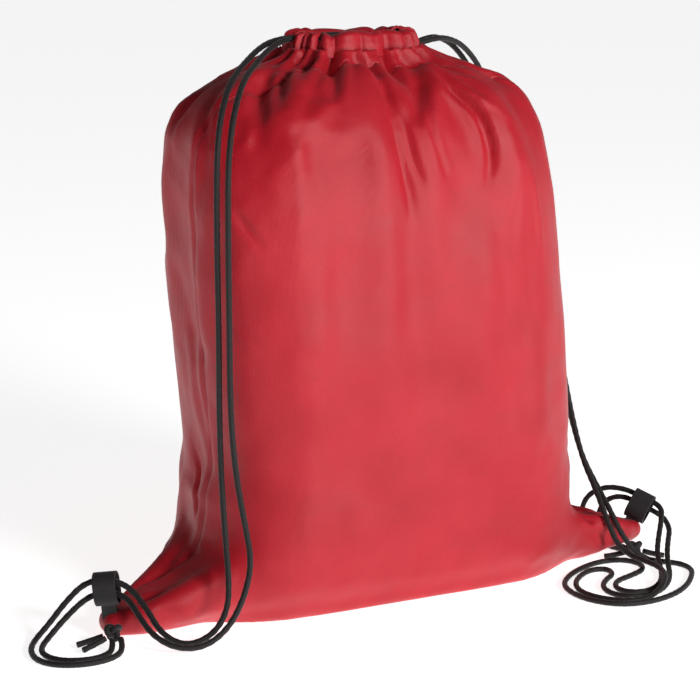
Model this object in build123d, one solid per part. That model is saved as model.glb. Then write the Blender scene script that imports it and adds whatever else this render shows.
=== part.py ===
"""Drawstring backpack, standing up and stuffed: panels, hem casing, seams, corner loops and two cords.

Millimetres, +Z up, the front panel faces -Y. The origin is on the floor, under the middle of the bag.
The fabric's own walls are drawn thicker than the real cloth, so that they are solids.
"""

from build123d import *
import math
import os

# Moves the model so that its origin is under the middle of the box round the bag and its loops
ORIGIN_SHIFT = (-3.44, -0.43, 0.0)

# Bag, stuffed
WALL = 2.0  # the cloth, drawn thick
SEAM_Y = -16.0  # plane of the side and bottom seams
SEAM_ALLOWANCE = 8.0
SEAM_THICKNESS = 1.6
SEAM_GAP = 0.5  # between an allowance and the cloth round it
NECK_Z = 289.0  # top of the panels, where the hem starts
# z, half width, half depth, corner radius, centre x, centre y
BODY_SECTIONS = (
    (0.0, 104.0, 48.0, 40.0, 2.0, -2.0),
    (12.0, 111.0, 56.0, 44.0, 2.0, -2.0),
    (55.0, 112.0, 61.0, 45.0, 2.0, -1.0),
    (115.0, 108.0, 64.0, 45.0, 1.0, 0.0),
    (185.0, 106.0, 64.0, 45.0, -1.0, 1.0),
    (235.0, 103.0, 61.0, 44.0, -2.0, 2.0),
    (262.0, 99.0, 54.0, 42.0, -2.0, 4.0),
    (280.0, 88.0, 43.0, 36.0, -1.0, 8.0),
    (287.0, 68.0, 34.0, 30.0, 0.0, 12.0),
    (NECK_Z, 38.0, 26.0, 24.0, 0.0, 16.0),
)
NECK_INSIDE = (20.0, 8.5, 8.0)  # half width, half depth and corner radius of the hole in the neck
# x, centre y, half depth, lowest z, highest z: the ears at the two lower corners, out to their tips
LEFT_EAR = (
    (-88.0, -6.0, 36.0, 0.0, 64.0),
    (-124.0, -23.0, 21.0, 0.0, 38.0),
    (-148.0, -27.0, 15.0, 0.0, 20.0),
    (-164.0, -27.0, 8.0, 0.0, 11.0),
)
RIGHT_EAR = (
    (88.0, -6.0, 34.0, 0.0, 60.0),
    (122.0, -20.0, 19.0, 0.0, 34.0),
    (146.0, -25.0, 11.0, 5.5, 25.0),
    (165.0, -27.0, 5.0, 8.0, 17.5),
)

# Hem casing, gathered round the mouth as a flat-sided ring
MOUTH_Y = 16.0
HEM_TOP = 309.0
RING_CENTRES = 12.0  # the ring's two round ends are centred this far out along X
MOUTH_RADIUS = 8.0
HEM_RADIUS = 25.0
CHANNEL_RADIUS = 16.5
CHANNEL_WIDTH = 8.0
CHANNEL_BOTTOM = 295.5
CHANNEL_TOP = 306.5
SLIT = 9.0  # opening between the two casings, at each side
SLIT_HEM = 1.4
THREAD = 0.6

# Webbing loops sewn into the lower corners
WEBBING_WIDTH = 12.0
WEBBING_THICKNESS = 1.2
LOOP_HEIGHT = 18.0
LOOP_INSIDE = 10.0
LEFT_LOOP = ((-163.0, -29.0, 17.5), (-0.84, 0.53, -0.12), (-0.08, 0.1, 0.99))  # base, width direction, up
RIGHT_LOOP = ((163.6, -27.0, 19.0), (0.62, -0.75, -0.37), (0.6, 0.1, 0.79))
TACK_HEIGHT = 7.0

# Cords
CORD = 3.2
KNOT_RADIUS = 5.6
EXIT_SPREAD = 2.2  # half the distance between the two strands at a slit
LEFT_CORD_Z = 303.5
RIGHT_CORD_Z = 298.5
EXIT_X = 39.0

LEFT_OUTER = [
    (-39.0, 18.2, 303.5), (-48.0, 15.0, 302.8), (-59.5, 6.5, 299.5), (-71.5, -4.5, 294.0),
    (-83.0, -16.5, 288.5), (-93.0, -28.0, 279.5), (-100.5, -37.5, 266.0), (-104.3, -42.5, 248.0),
    (-105.3, -43.5, 214.0), (-105.0, -43.8, 160.0), (-105.8, -44.5, 110.0), (-106.0, -47.5, 76.0),
    (-107.4, -55.0, 50.0), (-108.4, -61.0, 33.0), (-111.0, -65.5, 18.5), (-120.0, -67.5, 7.0),
    (-134.5, -66.5, 2.6), (-145.0, -58.5, 8.0), (-149.0, -47.0, 19.5), (-153.5, -36.0, 28.0),
    (-162.0, -29.6, 31.6), (-173.0, -22.8, 30.0), (-182.5, -17.5, 19.0), (-192.0, -16.0, 7.0),
    (-202.0, -22.5, 1.9), (-208.0, -35.0, 1.7), (-209.0, -49.0, 1.7), (-202.0, -60.0, 1.7),
    (-188.0, -65.5, 1.7), (-173.5, -63.5, 1.7), (-165.0, -56.5, 2.6), (-163.6, -48.0, 5.4),
]
LEFT_INNER = [
    (-39.0, 13.8, 303.5), (-47.0, 10.0, 302.0), (-57.5, 1.5, 298.0), (-68.5, -9.0, 292.5),
    (-79.5, -21.5, 287.0), (-89.0, -33.5, 277.5), (-96.5, -43.0, 263.0), (-100.5, -48.0, 244.0),
    (-101.5, -49.5, 210.0), (-101.8, -50.0, 160.0), (-102.0, -50.6, 116.0), (-101.2, -55.0, 86.0),
    (-99.0, -60.5, 62.0), (-97.0, -65.0, 42.0), (-103.5, -69.5, 25.0), (-114.0, -73.0, 11.0),
    (-128.0, -74.0, 3.4), (-142.0, -70.0, 4.0), (-151.0, -60.0, 9.5), (-153.5, -47.5, 16.5),
    (-155.5, -35.5, 23.0), (-164.0, -28.6, 25.4), (-173.5, -23.8, 21.5), (-184.0, -21.0, 11.5),
    (-194.0, -24.0, 3.6), (-202.0, -33.5, 1.7), (-203.5, -45.0, 1.7), (-198.0, -55.0, 1.7),
    (-187.0, -59.8, 1.7), (-177.0, -59.0, 1.7), (-170.0, -54.5, 2.6), (-168.2, -47.8, 5.2),
]
RIGHT_OUTER = [
    (39.0, 18.2, 298.5), (48.0, 21.0, 301.0), (60.0, 28.5, 301.0), (76.0, 39.0, 295.0),
    (93.0, 49.0, 280.0), (105.5, 53.5, 254.0), (115.0, 50.0, 218.0), (123.0, 41.0, 180.0),
    (131.0, 30.0, 142.0), (137.0, 19.0, 108.0), (139.5, 7.0, 79.0), (139.5, -7.0, 56.0),
    (140.0, -22.5, 42.5), (141.5, -35.5, 30.5), (144.0, -43.5, 18.5), (149.0, -48.5, 9.0),
    (156.0, -54.0, 3.0), (165.0, -58.0, 1.7), (172.0, -65.0, 1.7), (172.0, -76.0, 1.7),
    (164.0, -87.0, 1.7), (152.0, -99.0, 1.7), (137.0, -108.0, 1.7), (119.0, -112.0, 1.7),
    (103.0, -109.0, 1.7), (92.0, -97.5, 1.7), (88.0, -82.0, 1.7), (91.0, -67.0, 1.7),
    (102.0, -55.0, 1.7), (117.0, -46.0, 1.7), (132.0, -41.5, 1.7), (145.0, -43.5, 1.7),
    (151.0, -53.0, 1.7), (147.5, -64.0, 1.7), (135.0, -70.0, 1.7), (121.5, -74.5, 1.7),
    (114.5, -84.0, 1.7), (117.0, -93.5, 1.7), (127.0, -97.0, 1.7), (139.0, -91.0, 1.7),
    (149.0, -79.5, 1.7), (155.5, -68.5, 2.6), (160.0, -58.0, 7.5), (166.5, -49.5, 13.0),
    (173.0, -42.5, 20.5), (178.5, -35.0, 27.0), (172.0, -24.7, 30.4), (165.0, -16.0, 34.6),
    (156.0, -6.5, 34.5), (148.5, 1.0, 27.5), (146.5, 3.5, 15.5), (148.5, -2.0, 5.0),
    (152.0, -13.0, 1.7), (153.5, -25.5, 1.7), (154.5, -37.0, 4.2),
]
RIGHT_INNER = [
    (39.0, 13.8, 298.5), (50.0, 16.0, 301.0), (63.0, 23.0, 300.5), (79.5, 33.5, 295.0),
    (97.0, 43.5, 280.0), (110.0, 48.0, 254.0), (119.0, 44.5, 218.0), (126.5, 35.5, 180.0),
    (133.0, 24.0, 142.0), (136.5, 12.0, 108.0), (136.0, -1.0, 79.0), (135.5, -14.5, 56.0),
    (135.5, -29.0, 42.0), (135.5, -41.5, 27.5), (137.5, -49.5, 14.5), (142.0, -56.5, 8.5),
    (146.5, -67.0, 7.5), (147.5, -79.0, 7.5), (143.5, -91.0, 7.3), (134.5, -101.5, 5.6),
    (122.0, -107.6, 2.2), (108.5, -106.0, 1.7), (97.5, -95.0, 1.7), (93.5, -82.0, 1.7),
    (97.5, -69.0, 1.7), (107.0, -58.5, 1.7), (119.0, -51.5, 1.7), (128.5, -54.0, 1.7),
    (127.0, -63.5, 1.7), (117.5, -70.0, 1.7), (110.0, -78.0, 1.7), (107.0, -88.0, 1.7),
    (110.5, -97.5, 1.7), (120.0, -102.2, 1.7), (133.5, -100.0, 1.7), (146.5, -89.5, 1.7),
    (156.5, -76.5, 1.7), (161.5, -67.0, 3.6), (167.0, -58.0, 8.0), (173.5, -49.5, 11.5),
    (180.0, -41.5, 15.0), (181.0, -33.0, 20.0), (171.8, -25.8, 25.6), (163.8, -17.2, 30.6),
    (157.0, -10.5, 28.5), (152.8, -6.5, 20.5), (153.5, -7.0, 10.0), (156.5, -13.5, 3.0),
    (158.0, -24.5, 1.7), (157.8, -36.5, 4.0),
]
KNOTS = {"left": (-166.0, -43.5, 8.0), "right": (155.5, -41.8, 6.6)}
TAILS = {
    "left": [
        [(-171.0, -45.5, 6.0), (-177.5, -46.5, 3.8), (-184.0, -48.5, 2.8)],
        [(-170.5, -40.5, 5.4), (-177.0, -38.5, 3.2), (-184.0, -38.5, 2.2)],
    ],
    "right": [
        [(160.3, -43.5, 4.6), (166.0, -45.5, 2.6), (171.5, -48.5, 1.8)],
        [(150.8, -39.8, 4.4), (145.5, -36.5, 2.0), (139.5, -34.5, 1.7)],
    ],
}


def rounded_section(z, half_width, half_depth, radius, x, y):
    """A rounded rectangle lying at height z."""
    return Pos(x, y, z) * RectangleRounded(2 * half_width, 2 * half_depth, radius)


def body_solid(inset):
    """The stuffed bag without its ears, shrunk by inset all round."""
    sections = []
    for z, half_width, half_depth, radius, x, y in BODY_SECTIONS:
        if inset and z == NECK_Z:
            width, depth, corner = NECK_INSIDE
            sections.append(rounded_section(z, width, depth, corner, x, y))
            continue
        # the cavity's lower sections rise, and its upper ones sink, by the wall's thickness
        share = z / NECK_Z
        level = z + inset * (1 - 2 * share * share)
        sections.append(
            rounded_section(level, half_width - inset, half_depth - inset, radius - inset, x, y)
        )
    return loft(sections)


def ear_solid(stations, inset):
    """One ear, lofted from inside the body out to its tip."""
    outward = math.copysign(1.0, stations[0][0])
    sections = []
    for index, (x, y, half_depth, low, high) in enumerate(stations):
        last = index == len(stations) - 1
        if min(half_depth, (high - low) / 2) < inset + 2.0:
            continue
        place = Plane(
            origin=(x - outward * (inset if last else 0.0), y, (low + high) / 2),
            x_dir=(0, 1, 0),
            z_dir=(outward, 0, 0),
        )
        width = 2 * (half_depth - inset)
        height = high - low - 2 * inset
        sections.append(place * RectangleRounded(width, height, 0.42 * min(width, height)))
    return loft(sections, ruled=True)


def bag_solid(inset):
    """Body and both ears as one solid, shrunk by inset."""
    return body_solid(inset) + ear_solid(LEFT_EAR, inset) + ear_solid(RIGHT_EAR, inset)


def half_space(front):
    """A large block on one side of the seam plane."""
    side = -1 if front else 1
    return Pos(0, SEAM_Y + side * 200, 150) * Box(800, 400, 500)


def make_panels():
    """Front and back panels, meeting at the seam plane."""
    shell = bag_solid(0.0) - bag_solid(WALL)
    return {
        "front_panel": shell & half_space(True),
        "back_panel": shell & half_space(False),
    }


def make_seams():
    """Seam allowances inside the bag: one up each side, and one along the bottom."""
    rim = bag_solid(WALL + SEAM_GAP) - bag_solid(WALL + SEAM_GAP + SEAM_ALLOWANCE)
    slab = Pos(0, SEAM_Y, 150) * Box(800, SEAM_THICKNESS, 500)
    strip = rim & slab
    side_bottom = 70.0
    seams = {}
    for name, x in (("side_seam_left", -200.0), ("side_seam_right", 200.0)):
        block = Pos(x, SEAM_Y, side_bottom + 95) * Box(280, 20, 190)
        seams[name] = strip & block
    bottom_block = Pos(0, SEAM_Y, side_bottom / 2 - 25.5) * Box(800, 20, side_bottom + 50)
    seams["bottom_seam"] = strip & bottom_block
    return seams


def ring(radius, bottom, top):
    """A flat-sided disc round the mouth, standing between two heights."""
    outline = SlotCenterToCenter(2 * RING_CENTRES, 2 * radius)
    return Pos(0, MOUTH_Y, bottom) * extrude(outline, top - bottom)


def hem_ring():
    """The whole gathered hem with its hollow channel."""
    body = ring(HEM_RADIUS, NECK_Z, HEM_TOP) - ring(MOUTH_RADIUS, NECK_Z, HEM_TOP)
    half = CHANNEL_WIDTH / 2
    channel = ring(CHANNEL_RADIUS + half, CHANNEL_BOTTOM, CHANNEL_TOP)
    channel -= ring(CHANNEL_RADIUS - half, CHANNEL_BOTTOM, CHANNEL_TOP)
    return body - channel


def across_mouth(low, high):
    """A block over the mouth between two distances in front of or behind its middle."""
    return Pos(0, MOUTH_Y + (low + high) / 2, HEM_TOP - 10) * Box(200, high - low, 60)


def make_hem():
    """Front and back casings, the narrow hems of their side slits, and the rows of stitching."""
    whole = hem_ring()
    edge = SLIT / 2
    casing_start = edge + SLIT_HEM
    thread = ring(HEM_RADIUS + THREAD, NECK_Z + 1.2, NECK_Z + 1.2 + THREAD)
    thread -= ring(HEM_RADIUS, NECK_Z, HEM_TOP)
    front_edge = whole & across_mouth(-casing_start, -edge)
    back_edge = whole & across_mouth(edge, casing_start)
    left = Pos(-100, MOUTH_Y, HEM_TOP) * Box(200, 100, 100)
    right = Pos(100, MOUTH_Y, HEM_TOP) * Box(200, 100, 100)
    return {
        "front_casing": whole & across_mouth(-60, -casing_start),
        "back_casing": whole & across_mouth(casing_start, 60),
        "slit_hem_left": Compound([*(front_edge & left).solids(), *(back_edge & left).solids()]),
        "slit_hem_right": Compound([*(front_edge & right).solids(), *(back_edge & right).solids()]),
        "casing_stitching_front": thread & across_mouth(-60, -casing_start),
        "casing_stitching_back": thread & across_mouth(casing_start, 60),
    }


def make_loop(spec):
    """A folded strip of webbing, open from side to side, and the tack that holds its base."""
    base, width_direction, up = spec
    width_direction = Vector(*width_direction).normalized()
    across = Vector(*up).cross(width_direction).normalized()
    start = Vector(*base) - width_direction * (WEBBING_WIDTH / 2)
    side = Plane(origin=start, x_dir=across, z_dir=width_direction)
    outside = LOOP_INSIDE / 2 + WEBBING_THICKNESS
    centre = LOOP_HEIGHT / 2
    # the outline tapers to the sewn base: a slot standing on a narrow foot
    outer = Pos(0, centre) * SlotOverall(LOOP_HEIGHT, 2 * outside, rotation=90)
    inner = Pos(0, centre) * SlotOverall(LOOP_HEIGHT - 2 * WEBBING_THICKNESS, LOOP_INSIDE, rotation=90)
    webbing = extrude(side * (outer - inner), WEBBING_WIDTH)
    tack_outline = Pos(0, -TACK_HEIGHT / 2 - 0.2) * Rectangle(2.2, TACK_HEIGHT)
    tack = extrude(side * tack_outline, WEBBING_WIDTH - 4)
    tack = Pos(*(width_direction * 2.0)) * tack
    return webbing, tack


def corner_radii(points):
    """Each corner's arc: 0.45 of the shorter run beside it, over the tangent of half the turn."""
    radii = []
    for before, corner, after in zip(points, points[1:], points[2:]):
        first = Vector(*corner) - Vector(*before)
        second = Vector(*after) - Vector(*corner)
        half_turn = math.radians(first.get_angle(second)) / 2
        radii.append(0.45 * min(first.length, second.length) / math.tan(half_turn))
    return radii


def cord_tube(name, points):
    """A cord along straight runs joined by tangent arcs."""
    radii = corner_radii(points)
    path = FilletPolyline(*points, radius=radii)
    start = Plane(origin=path @ 0, z_dir=path % 0)
    tube = sweep(start * Circle(CORD / 2), path=path)
    expected = math.pi * (CORD / 2) ** 2 * path.length
    print(
        f"{name}: length {path.length:.0f}, smallest radius {min(radii):.1f}, "
        f"volume {tube.volume / expected:.4f} of section times length"
    )
    return tube


def casing_run(side, z):
    """A cord's hidden run: in at one slit, round both casings, and out at the same slit."""
    front_y = MOUTH_Y - CHANNEL_RADIUS
    back_y = MOUTH_Y + CHANNEL_RADIUS
    end_x = RING_CENTRES + CHANNEL_RADIUS
    points = [
        (side * EXIT_X, MOUTH_Y - EXIT_SPREAD, z),
        (side * (end_x + 0.5), MOUTH_Y - EXIT_SPREAD, z),
        (side * (end_x - 1.0), front_y + 1.0, z),
        (-side * end_x, front_y, z),
        (-side * end_x, back_y, z),
        (side * (end_x - 1.0), back_y - 1.0, z),
        (side * (end_x + 0.5), MOUTH_Y + EXIT_SPREAD, z),
        (side * EXIT_X, MOUTH_Y + EXIT_SPREAD, z),
    ]
    radii = [4.5, 8.0, CHANNEL_RADIUS - 0.5, CHANNEL_RADIUS - 0.5, 8.0, 4.5]
    path = FilletPolyline(*points, radius=radii)
    start = Plane(origin=path @ 0, z_dir=path % 0)
    return sweep(start * Circle(CORD / 2), path=path)


def make_cords():
    """Both cords: hidden runs, strands, knots and cut tails."""
    cords = {
        "cord_left_casing_run": casing_run(-1, LEFT_CORD_Z),
        "cord_right_casing_run": casing_run(1, RIGHT_CORD_Z),
    }
    strands = {
        "cord_left_outer_strand": LEFT_OUTER,
        "cord_left_inner_strand": LEFT_INNER,
        "cord_right_outer_strand": RIGHT_OUTER,
        "cord_right_inner_strand": RIGHT_INNER,
    }
    for name, points in strands.items():
        cords[name] = cord_tube(name, points)
    for side, centre in KNOTS.items():
        cords[f"cord_{side}_knot"] = Pos(*centre) * Sphere(KNOT_RADIUS)
        tails = [cord_tube(f"cord_{side}_tail", points) for points in TAILS[side]]
        cords[f"cord_{side}_tails"] = Compound(tails)
    return cords


def main():
    os.makedirs("parts", exist_ok=True)
    parts = {}
    parts.update(make_panels())
    parts.update(make_seams())
    parts.update(make_hem())
    for side, spec in (("left", LEFT_LOOP), ("right", RIGHT_LOOP)):
        parts[f"corner_loop_{side}"], parts[f"loop_tack_{side}"] = make_loop(spec)
    parts.update(make_cords())
    for name, shape in parts.items():
        export_step(Pos(*ORIGIN_SHIFT) * shape, f"parts/{name}.step")


main()
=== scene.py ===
"""Drawstring backpack, stuffed and standing: cloth, hem, seams, loops and cords, round the CAD frame.

Metres, in the CAD frame. Every place below is written as in the CAD source and moved by SHIFT.
"""

import math

import bmesh
import bpy
import numpy as np
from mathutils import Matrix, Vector, noise


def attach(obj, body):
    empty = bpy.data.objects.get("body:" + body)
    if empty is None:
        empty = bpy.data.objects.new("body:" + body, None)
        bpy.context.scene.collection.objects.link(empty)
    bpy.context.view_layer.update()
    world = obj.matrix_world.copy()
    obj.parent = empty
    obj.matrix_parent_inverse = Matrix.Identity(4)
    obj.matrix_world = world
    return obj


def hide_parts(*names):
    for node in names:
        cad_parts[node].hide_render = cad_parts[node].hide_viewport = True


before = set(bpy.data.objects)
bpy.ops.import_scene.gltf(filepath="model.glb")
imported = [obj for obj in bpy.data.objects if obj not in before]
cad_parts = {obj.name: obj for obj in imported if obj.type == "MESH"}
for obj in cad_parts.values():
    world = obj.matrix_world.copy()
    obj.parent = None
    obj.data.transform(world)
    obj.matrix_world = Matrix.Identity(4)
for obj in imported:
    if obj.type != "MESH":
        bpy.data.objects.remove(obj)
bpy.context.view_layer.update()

MM = 0.001
SHIFT = np.array((-0.00344, -0.00043, 0.0))  # the CAD source's ORIGIN_SHIFT
SEAM_Y = -16.0 * MM + SHIFT[1]  # plane of the side and bottom seams
MOUTH_Y = 16.0 * MM  # the mouth's middle
CORD = 3.2 * MM
CORD_SIDES = 14
CORD_STEP = 0.55 * MM

# Bag sections: height, half width, half depth, corner radius, centre x, centre y, in millimetres
BODY_SECTIONS = np.array((
    (0, 104, 48, 40, 3, -2),
    (12, 111.5, 56, 44, 4, -2),
    (30, 113, 59, 45, 5, -2),
    (55, 111, 61.5, 45, 7.5, -1),
    (90, 107, 63.5, 45, 8.5, 0),
    (150, 106, 65, 45, 3.5, 0),
    (200, 105.5, 64.5, 45, -1, 1),
    (235, 103.5, 62, 44, -3, 2),
    (262, 99.5, 55, 42, -3, 4),
    (276, 91, 47, 37, -2, 7),
    (284, 72, 38, 30, 0, 11),
    (289, 55, 31, 28, 0, 14),
    (293, 44, 28, 26, 0, 15.5),
    (298, 38.5, 26, 25, 0, 16),
    (303, 37, 25, 24, 0, 16),
), float)
# x, centre y, half depth, lowest z, highest z of the ears, in millimetres
LEFT_EAR = np.array((
    (-80, -6, 38, -1, 60),
    (-108, -15, 30, 0, 40),
    (-126, -22, 22, 0, 30),
    (-146, -26, 16, 0, 20.5),
    (-164, -27, 9, 0.5, 12.5),
    (-167, -27, 6, 2, 9),
), float)
RIGHT_EAR = np.array((
    (80, -6, 36, -1, 62),
    (106, -14, 27, 0, 43),
    (126, -21, 19, 0.5, 31),
    (146, -25, 12, 5, 25.5),
    (165, -27, 6.5, 7.5, 18),
    (168, -27, 4, 10, 16),
), float)

# The skin: its mesh, and how it buckles when it is simulated as cloth
REMESH_STEP = 0.0035
FITTING_ROUNDS = 4
HOLD = 0.06  # how hard every point is held to its place, from 0 to 1
TAUT = 0.35  # share of the wrinkles that the stuffed faces keep
SIMULATED_FRAMES = 16
FARTHEST_WRINKLE = 0.005
BROAD_ROUNDS = 60  # smoothing that leaves only the bag's swelling, which is taken away
BILLOWS = ((17.0, 1.4), (44.0, 0.5))  # frequency of the noise, and height in millimetres
PANEL_TOP = 0.2985  # where the panels end, inside the hem
CLOTH = 0.4 * MM
HEM_CLOTH = 0.5 * MM
SEAM_ALLOWANCE = 8.0 * MM

# The mouth, an oval ring of drawn-up cloth, in millimetres
NECK_Z = 289.0
HEM_RADIUS = 25.0
RING_CENTRES = 12.0  # from the middle to the centre of each rounded end
OVAL = 0.72  # squeeze along X of the angle round the mouth
SLIT_ANGLE = 0.2  # from the bag's side to the end of a casing
FINE_PLEATS = (25, 5, 0.7)  # count, seed and sharpness
COARSE_PLEATS = (11, 8, 0.8)
RIM_PLEATS = (19, 3, 0.8)
FINE_STAND = 1.9
COARSE_STAND = 2.6
COARSE_TURN = 0.1  # by which the coarse pleats are turned from the fine ones

# Creases: width, depth (below zero for a ridge) and route, in millimetres
CREASES = (
    # folds fanning from the mouth over the right shoulder
    (6.5, 4.5, ((15, -10, 297), (19, -20, 288), (15, -35, 279), (9, -45, 269), (6, -49, 260))),
    (3.6, 3.4, ((-14, -12, 293), (-6, -22, 286), (-6, -40, 276), (-7, -51, 262),
                (-5, -59, 234), (-2, -62, 211))),
    (2.8, 2.8, ((-5, -41, 274), (-2, -50, 262), (0, -57, 244), (5, -60, 230))),
    (2.6, 2.8, ((17, -41, 274), (13, -51, 261), (14, -55, 250), (19, -60, 233))),
    (3.6, 4.6, ((9, -10, 299), (24, -18, 288), (34, -38, 277), (43, -47, 266),
                (47, -56, 245), (43, -60, 226))),
    (3.8, 3.8, ((14, -11, 295), (31, -17, 289), (45, -27, 284), (66, -36, 276))),
    (3.6, -2.2, ((26, -22, 287), (42, -41, 274), (51, -46, 268), (66, -50, 258))),
    (4.5, 2.6, ((24, -2, 293), (46, -8, 288), (68, -18, 282), (84, -28, 270))),
    # deep pockets at the front of the mouth, and folds over the left shoulder
    (4.6, 6.5, ((-24, -7, 299), (-27, -17, 289), (-32, -29, 282), (-38, -41, 274))),
    (4.6, 5.0, ((-31, -5, 297), (-40, -11, 290), (-52, -26, 283))),
    (4.6, 5.5, ((-14, -10, 296), (-9, -16, 290), (-3, -27, 284))),
    (5.5, 4.0, ((-36, 5, 298), (-50, 3, 290), (-68, -16, 283), (-80, -39, 268), (-84, -46, 250))),
    (4.5, 3.0, ((-33, 0, 298), (-46, -5, 291), (-60, -22, 283), (-69, -40, 273))),
    (5.0, 3.0, ((-60, 16, 288), (-84, 20, 280), (-96, 22, 268), (-103, 16, 240))),
    (6.0, 3.0, ((-76, 4, 284), (-95, -8, 272), (-101, -22, 250), (-104, -24, 215))),
    # soft upright folds and ridges on the front
    (18.0, 2.4, ((-62, -49, 267), (-71, -61, 219), (-71, -63, 162), (-69, -63, 90))),
    (17.0, 2.2, ((-29, -53, 256), (-38, -63, 206), (-41, -65, 154), (-39, -64, 70))),
    (18.0, 1.8, ((6, -62, 218), (1, -64, 172), (3, -64, 117), (2, -63, 60))),
    (15.0, -2.6, ((46, -61, 230), (42, -63, 190), (38, -64, 141), (40, -64, 90))),
    (12.0, 2.4, ((66, -58, 240), (68, -61, 180), (66, -62, 110))),
    (3.0, -1.1, ((65, -60, 227), (63, -62, 212), (61, -63, 194))),
    (3.0, -1.1, ((72, -57, 237), (77, -59, 208), (80, -60, 184))),
    # small puckers beside the cords
    (3.4, 1.5, ((-98, -44, 224), (-92, -50, 214), (-84, -57, 202))),
    (3.4, 1.5, ((-98, -45, 167), (-93, -51, 159), (-85, -57, 150))),
    (3.2, 1.3, ((-97, -45, 129), (-92, -51, 123), (-86, -55, 117))),
    # the left side: the crease down to the ear, and the ear's own folds
    (2.6, 3.0, ((-103, 10, 92), (-101, -2, 76), (-104, -6, 62), (-112, -10, 42), (-122, -24, 32))),
    (5.0, 2.6, ((-108, 8, 66), (-112, -2, 46), (-124, -12, 31), (-138, -18, 24))),
    (6.0, 2.2, ((-102, 2, 172), (-101, -4, 140), (-99, -10, 104), (-102, -22, 72))),
    (4.5, 2.8, ((-112, -30, 44), (-126, -32, 32), (-142, -32, 22), (-156, -30, 15))),
    (4.0, 2.4, ((-112, -42, 30), (-128, -42, 19), (-146, -40, 10))),
    (4.0, 2.0, ((-108, 22, 40), (-118, 8, 30), (-130, -2, 22))),
    # the right ear
    (4.2, 3.0, ((112, -36, 44), (124, -38, 30), (132, -39, 14))),
    (3.6, 2.2, ((112, -42, 26), (126, -41, 20), (142, -37, 13))),
    (3.6, -1.4, ((120, -37, 30), (143, -35, 23), (158, -33, 18))),
    (4.2, 2.6, ((110, 6, 40), (122, -4, 26), (134, -12, 18))),
    (6.0, 2.8, ((107, -20, 120), (110, -22, 84), (114, -22, 54))),
    (6.0, 2.6, ((98, 20, 258), (104, 22, 220), (106, 12, 180))),
    # the back
    (16.0, 2.4, ((-50, 60, 250), (-56, 65, 180), (-52, 62, 80))),
    (18.0, 2.2, ((12, 61, 255), (16, 66, 170), (10, 63, 70))),
    (14.0, 2.2, ((62, 61, 245), (60, 65, 170), (66, 61, 80))),
    (4.5, 3.2, ((-18, 44, 294), (-30, 50, 282), (-42, 57, 262), (-48, 62, 225))),
    (4.5, 3.2, ((14, 44, 294), (26, 51, 281), (38, 58, 260), (40, 63, 224))),
    (4.0, 2.6, ((-2, 44, 294), (-6, 52, 281), (-8, 60, 258), (-6, 64, 236))),
)

# Cord routes, as in the CAD source, in metres
LEFT_OUTER = [
    (-0.039, 0.0182, 0.3035), (-0.048, 0.015, 0.3028), (-0.0595, 0.0065, 0.2995),
    (-0.0715, -0.0045, 0.294), (-0.083, -0.0165, 0.2885), (-0.093, -0.028, 0.2795),
    (-0.1005, -0.0375, 0.266), (-0.1043, -0.0425, 0.248), (-0.1053, -0.0435, 0.214),
    (-0.105, -0.0438, 0.16), (-0.1058, -0.0445, 0.11), (-0.106, -0.0475, 0.076), (-0.1074, -0.055, 0.05),
    (-0.1084, -0.061, 0.033), (-0.111, -0.0655, 0.0185), (-0.12, -0.0675, 0.007),
    (-0.1345, -0.0665, 0.0026), (-0.145, -0.0585, 0.008), (-0.149, -0.047, 0.0195),
    (-0.1535, -0.036, 0.028), (-0.162, -0.0296, 0.0316), (-0.173, -0.0228, 0.03),
    (-0.1825, -0.0175, 0.019), (-0.192, -0.016, 0.007), (-0.202, -0.0225, 0.0019),
    (-0.208, -0.035, 0.0017), (-0.209, -0.049, 0.0017), (-0.202, -0.06, 0.0017),
    (-0.188, -0.0655, 0.0017), (-0.1735, -0.0635, 0.0017), (-0.165, -0.0565, 0.0026),
    (-0.1636, -0.048, 0.0054),
]
LEFT_INNER = [
    (-0.039, 0.0138, 0.3035), (-0.047, 0.01, 0.302), (-0.0575, 0.0015, 0.298), (-0.0685, -0.009, 0.2925),
    (-0.0795, -0.0215, 0.287), (-0.089, -0.0335, 0.2775), (-0.0965, -0.043, 0.263),
    (-0.1005, -0.048, 0.244), (-0.1015, -0.0495, 0.21), (-0.1018, -0.05, 0.16), (-0.102, -0.0506, 0.116),
    (-0.1012, -0.055, 0.086), (-0.099, -0.0605, 0.062), (-0.097, -0.065, 0.042),
    (-0.1035, -0.0695, 0.025), (-0.114, -0.073, 0.011), (-0.128, -0.074, 0.0034), (-0.142, -0.07, 0.004),
    (-0.151, -0.06, 0.0095), (-0.1535, -0.0475, 0.0165), (-0.1555, -0.0355, 0.023),
    (-0.164, -0.0286, 0.0254), (-0.1735, -0.0238, 0.0215), (-0.184, -0.021, 0.0115),
    (-0.194, -0.024, 0.0036), (-0.202, -0.0335, 0.0017), (-0.2035, -0.045, 0.0017),
    (-0.198, -0.055, 0.0017), (-0.187, -0.0598, 0.0017), (-0.177, -0.059, 0.0017),
    (-0.17, -0.0545, 0.0026), (-0.1682, -0.0478, 0.0052),
]
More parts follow.
